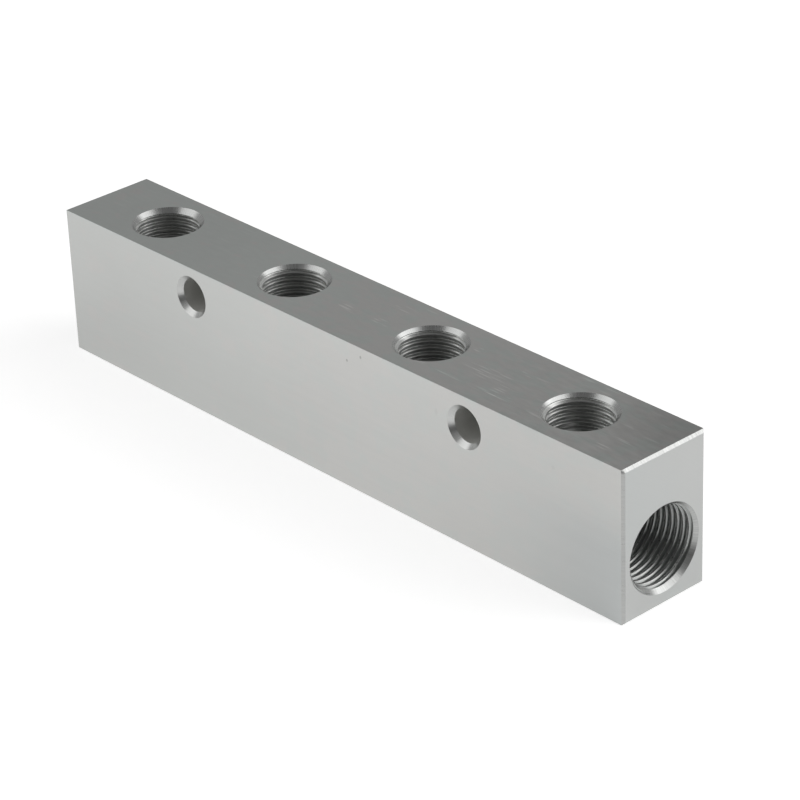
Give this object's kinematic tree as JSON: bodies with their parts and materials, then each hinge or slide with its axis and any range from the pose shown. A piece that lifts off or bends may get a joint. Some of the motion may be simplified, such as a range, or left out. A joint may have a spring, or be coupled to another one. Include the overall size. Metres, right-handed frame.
{
  "type": "air manifold block",
  "caption": "Drilled aluminium bar that shares compressed air from threaded end inlets among a row of threaded outlets on top, with plain cross holes for mounting screws.",
  "frame": {"origin": "centre of the underside", "axes": "+X along the bar to one inlet, -Y the front face, +Z the outlet face"},
  "size_m": [0.15, 0.02, 0.03],
  "materials": {
    "aluminium": "satin"
  },
  "bodies": {
    "root": {"manifold_block": "aluminium"}
  },
  "joints": []
}
